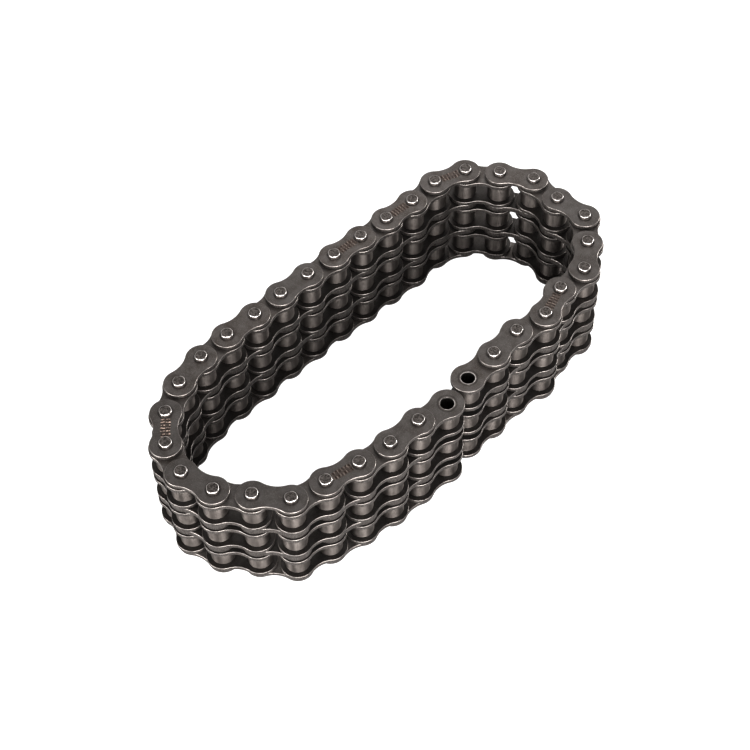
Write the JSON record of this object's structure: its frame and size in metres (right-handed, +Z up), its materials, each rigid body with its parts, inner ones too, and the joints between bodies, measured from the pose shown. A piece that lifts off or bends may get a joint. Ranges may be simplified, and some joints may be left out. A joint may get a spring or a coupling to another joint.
{
  "type": "roller chain",
  "caption": "Multi-strand roller chain lying as an open loop on its pin ends, for driving or tying together sprockets; both free ends are roller links.",
  "frame": {"origin": "middle of the loop's box, in the plane of the lower pin ends that the chain stands on", "axes": "+X along the long sides of the loop, +Z up along the pins"},
  "size_m": [0.188, 0.0852, 0.0449],
  "materials": {
    "plate_steel": "dark heat-treated steel, lightly oiled, bright worn edges",
    "roller_steel": "satin ground steel, slightly oiled",
    "pin_steel": "ground steel with a bright riveted rim"
  },
  "bodies": {
    "roller_link_01": {"roller_link_01_lower_plate_strand1": "plate_steel", "roller_link_01_upper_plate_strand1": "plate_steel", "roller_link_01_bush_strand1a": "roller_steel", "roller_link_01_bush_strand1b": "roller_steel", "roller_link_01_lower_plate_strand2": "plate_steel", "roller_link_01_upper_plate_strand2": "plate_steel", "roller_link_01_bush_strand2a": "roller_steel", "roller_link_01_bush_strand2b": "roller_steel", "roller_link_01_lower_plate_strand3": "plate_steel", "roller_link_01_upper_plate_strand3": "plate_steel", "roller_link_01_bush_strand3a": "roller_steel", "roller_link_01_bush_strand3b": "roller_steel"},
    "roller_link_01_roller_strand1a": {"roller_link_01_roller_strand1a": "roller_steel"},
    "roller_link_01_roller_strand1b": {"roller_link_01_roller_strand1b": "roller_steel"},
    "roller_link_01_roller_strand2a": {"roller_link_01_roller_strand2a": "roller_steel"},
    "roller_link_01_roller_strand2b": {"roller_link_01_roller_strand2b": "roller_steel"},
    "roller_link_01_roller_strand3a": {"roller_link_01_roller_strand3a": "roller_steel"},
    "roller_link_01_roller_strand3b": {"roller_link_01_roller_strand3b": "roller_steel"},
    "pin_link_02": {"pin_link_02_lower_outer_plate": "plate_steel", "pin_link_02_lower_middle_plate": "plate_steel", "pin_link_02_upper_outer_plate": "plate_steel", "pin_link_02_upper_middle_plate": "plate_steel", "pin_link_02_pin_a": "pin_steel", "pin_link_02_pin_b": "pin_steel"},
    "roller_link_03": {"roller_link_03": "plate_steel"},
    "pin_link_04": {"pin_link_04_lower_outer_plate": "plate_steel", "pin_link_04_lower_middle_plate": "plate_steel", "pin_link_04_upper_outer_plate": "plate_steel", "pin_link_04_upper_middle_plate": "plate_steel", "pin_link_04_pin_a": "pin_steel", "pin_link_04_pin_b": "pin_steel"},
    "roller_link_05": {"roller_link_05": "plate_steel"},
    "pin_link_06": {"pin_link_06": "plate_steel"},
    "roller_link_07": {"roller_link_07": "plate_steel"},
    "pin_link_08": {"pin_link_08": "plate_steel"},
    "roller_link_09": {"roller_link_09": "plate_steel"},
    "pin_link_10": {"pin_link_10": "plate_steel"},
    "roller_link_11": {"roller_link_11": "plate_steel"},
    "pin_link_12": {"pin_link_12": "plate_steel"},
    "roller_link_13": {"roller_link_13": "plate_steel"},
    "pin_link_14": {"pin_link_14": "plate_steel"},
    "roller_link_15": {"roller_link_15": "plate_steel"},
    "pin_link_16": {"pin_link_16": "plate_steel"},
    "roller_link_17": {"roller_link_17": "plate_steel"},
    "pin_link_18": {"pin_link_18": "plate_steel"},
    "roller_link_19": {"roller_link_19": "plate_steel"},
    "pin_link_20": {"pin_link_20": "plate_steel"},
    "roller_link_21": {"roller_link_21": "plate_steel"},
    "pin_link_22": {"pin_link_22": "plate_steel"},
    "roller_link_23": {"roller_link_23": "plate_steel"},
    "pin_link_24": {"pin_link_24": "plate_steel"},
    "roller_link_25": {"roller_link_25": "plate_steel"},
    "pin_link_26": {"pin_link_26": "plate_steel"},
    "roller_link_27": {"roller_link_27": "plate_steel"},
    "pin_link_28": {"pin_link_28": "plate_steel"},
    "roller_link_29": {"roller_link_29": "plate_steel"},
    "pin_link_30": {"pin_link_30": "plate_steel"},
    "roller_link_31": {"roller_link_31": "plate_steel"},
    "pin_link_32": {"pin_link_32": "plate_steel"},
    "roller_link_33": {"roller_link_33": "plate_steel"}
  },
  "joints": [
    {"name": "bend_01_02", "type": "hinge", "parent": "pin_link_02", "child": "roller_link_01", "pos_m": [-0.01939, -0.03577, 0.02245], "axis": [0, 0, -1], "range_deg": [-40, 45]},
    {"name": "bend_02_03", "type": "hinge", "parent": "roller_link_03", "child": "pin_link_02", "pos_m": [-0.03209, -0.03555, 0.02245], "axis": [0, 0, 1], "range_deg": [-45, 40]},
    {"name": "bend_03_04", "type": "hinge", "parent": "pin_link_04", "child": "roller_link_03", "pos_m": [-0.04469, -0.034, 0.02245], "axis": [0, 0, -1], "range_deg": [-40, 45]},
    {"name": "bend_04_05", "type": "hinge", "parent": "roller_link_05", "child": "pin_link_04", "pos_m": [-0.05716, -0.03157, 0.02245], "axis": [0, 0, 1], "range_deg": [-45, 40]},
    {"name": "bend_05_06", "type": "hinge", "parent": "pin_link_06", "child": "roller_link_05", "pos_m": [-0.06954, -0.02872, 0.02245], "axis": [0, 0, -1], "range_deg": [-40, 45]},
    {"name": "bend_06_07", "type": "hinge", "parent": "roller_link_07", "child": "pin_link_06", "pos_m": [-0.07735, -0.01871, 0.02245], "axis": [0, 0, 1], "range_deg": [-45, 0]},
    {"name": "bend_07_08", "type": "hinge", "parent": "pin_link_08", "child": "roller_link_07", "pos_m": [-0.085, -0.00857, 0.02245], "axis": [0, 0, -1], "range_deg": [0, 45]},
    {"name": "bend_08_09", "type": "hinge", "parent": "roller_link_09", "child": "pin_link_08", "pos_m": [-0.08786, 0.00381, 0.02245], "axis": [0, 0, 1], "range_deg": [-45, 0]},
    {"name": "bend_09_10", "type": "hinge", "parent": "pin_link_10", "child": "roller_link_09", "pos_m": [-0.08414, 0.01595, 0.02245], "axis": [0, 0, -1], "range_deg": [0, 45]},
    {"name": "bend_10_11", "type": "hinge", "parent": "roller_link_11", "child": "pin_link_10", "pos_m": [-0.07598, 0.02568, 0.02245], "axis": [0, 0, 1], "range_deg": [-45, 0]},
    {"name": "bend_11_12", "type": "hinge", "parent": "pin_link_12", "child": "roller_link_11", "pos_m": [-0.06487, 0.03184, 0.02245], "axis": [0, 0, -1], "range_deg": [0, 45]},
    {"name": "bend_12_13", "type": "hinge", "parent": "roller_link_13", "child": "pin_link_12", "pos_m": [-0.05255, 0.03491, 0.02245], "axis": [0, 0, 1], "range_deg": [-45, 0]},
    {"name": "bend_13_14", "type": "hinge", "parent": "pin_link_14", "child": "roller_link_13", "pos_m": [-0.0399, 0.03602, 0.02245], "axis": [0, 0, -1], "range_deg": [0, 45]},
    {"name": "bend_14_15", "type": "hinge", "parent": "roller_link_15", "child": "pin_link_14", "pos_m": [-0.0272, 0.03602, 0.02245], "axis": [0, 0, 1], "range_deg": [-45, 0]},
    {"name": "bend_15_16", "type": "hinge", "parent": "pin_link_16", "child": "roller_link_15", "pos_m": [-0.01451, 0.03668, 0.02245], "axis": [0, 0, -1], "range_deg": [0, 45]},
    {"name": "bend_16_17", "type": "hinge", "parent": "roller_link_17", "child": "pin_link_16", "pos_m": [-0.00181, 0.03646, 0.02245], "axis": [0, 0, 1], "range_deg": [-45, 0]},
    {"name": "bend_17_18", "type": "hinge", "parent": "roller_link_17", "child": "pin_link_18", "pos_m": [0.01089, 0.03646, 0.02245], "axis": [0, 0, 1], "range_deg": [0, 45]},
    {"name": "bend_18_19", "type": "hinge", "parent": "pin_link_18", "child": "roller_link_19", "pos_m": [0.02358, 0.03602, 0.02245], "axis": [0, 0, -1], "range_deg": [-45, 0]},
    {"name": "bend_19_20", "type": "hinge", "parent": "roller_link_19", "child": "pin_link_20", "pos_m": [0.03628, 0.0358, 0.02245], "axis": [0, 0, 1], "range_deg": [0, 45]},
    {"name": "bend_20_21", "type": "hinge", "parent": "pin_link_20", "child": "roller_link_21", "pos_m": [0.04897, 0.03535, 0.02245], "axis": [0, 0, -1], "range_deg": [-45, 0]},
    {"name": "bend_21_22", "type": "hinge", "parent": "roller_link_21", "child": "pin_link_22", "pos_m": [0.06164, 0.03624, 0.02245], "axis": [0, 0, 1], "range_deg": [0, 45]},
    {"name": "bend_22_23", "type": "hinge", "parent": "pin_link_22", "child": "roller_link_23", "pos_m": [0.07372, 0.03232, 0.02245], "axis": [0, 0, -1], "range_deg": [-45, 0]},
    {"name": "bend_23_24", "type": "hinge", "parent": "roller_link_23", "child": "pin_link_24", "pos_m": [0.08171, 0.02244, 0.02245], "axis": [0, 0, 1], "range_deg": [0, 45]},
    {"name": "bend_24_25", "type": "hinge", "parent": "pin_link_24", "child": "roller_link_25", "pos_m": [0.08806, 0.01145, 0.02245], "axis": [0, 0, -1], "range_deg": [-45, 30]},
    {"name": "bend_25_26", "type": "hinge", "parent": "roller_link_25", "child": "pin_link_26", "pos_m": [0.08695, -0.0012, 0.02245], "axis": [0, 0, 1], "range_deg": [-30, 45]},
    {"name": "bend_26_27", "type": "hinge", "parent": "pin_link_26", "child": "roller_link_27", "pos_m": [0.08761, -0.01389, 0.02245], "axis": [0, 0, -1], "range_deg": [-45, 35]},
    {"name": "bend_27_28", "type": "hinge", "parent": "roller_link_27", "child": "pin_link_28", "pos_m": [0.07879, -0.02302, 0.02245], "axis": [0, 0, 1], "range_deg": [-40, 45]},
    {"name": "bend_28_29", "type": "hinge", "parent": "pin_link_28", "child": "roller_link_29", "pos_m": [0.06852, -0.03049, 0.02245], "axis": [0, 0, -1], "range_deg": [-45, 40]},
    {"name": "bend_29_30", "type": "hinge", "parent": "roller_link_29", "child": "pin_link_30", "pos_m": [0.05582, -0.03071, 0.02245], "axis": [0, 0, 1], "range_deg": [-40, 45]},
    {"name": "bend_30_31", "type": "hinge", "parent": "pin_link_30", "child": "roller_link_31", "pos_m": [0.04374, -0.03463, 0.02245], "axis": [0, 0, -1], "range_deg": [-45, 40]},
    {"name": "bend_31_32", "type": "hinge", "parent": "roller_link_31", "child": "pin_link_32", "pos_m": [0.03117, -0.03287, 0.02245], "axis": [0, 0, 1], "range_deg": [-40, 45]},
    {"name": "bend_32_33", "type": "hinge", "parent": "pin_link_32", "child": "roller_link_33", "pos_m": [0.01851, -0.03397, 0.02245], "axis": [0, 0, -1], "range_deg": [-45, 40]},
    {"name": "spin_strand1a", "type": "hinge", "parent": "roller_link_01", "child": "roller_link_01_roller_strand1a", "pos_m": [-0.00672, -0.03665, 0.00853], "axis": [0, 0, 1], "continuous": true},
    {"name": "spin_strand1b", "type": "hinge", "parent": "roller_link_01", "child": "roller_link_01_roller_strand1b", "pos_m": [-0.01939, -0.03577, 0.00853], "axis": [0, 0, 1], "continuous": true},
    {"name": "spin_strand2a", "type": "hinge", "parent": "roller_link_01", "child": "roller_link_01_roller_strand2a", "pos_m": [-0.00672, -0.03665, 0.02245], "axis": [0, 0, 1], "continuous": true},
    {"name": "spin_strand2b", "type": "hinge", "parent": "roller_link_01", "child": "roller_link_01_roller_strand2b", "pos_m": [-0.01939, -0.03577, 0.02245], "axis": [0, 0, 1], "continuous": true},
    {"name": "spin_strand3a", "type": "hinge", "parent": "roller_link_01", "child": "roller_link_01_roller_strand3a", "pos_m": [-0.00672, -0.03665, 0.03637], "axis": [0, 0, 1], "continuous": true},
    {"name": "spin_strand3b", "type": "hinge", "parent": "roller_link_01", "child": "roller_link_01_roller_strand3b", "pos_m": [-0.01939, -0.03577, 0.03637], "axis": [0, 0, 1], "continuous": true}
  ]
}
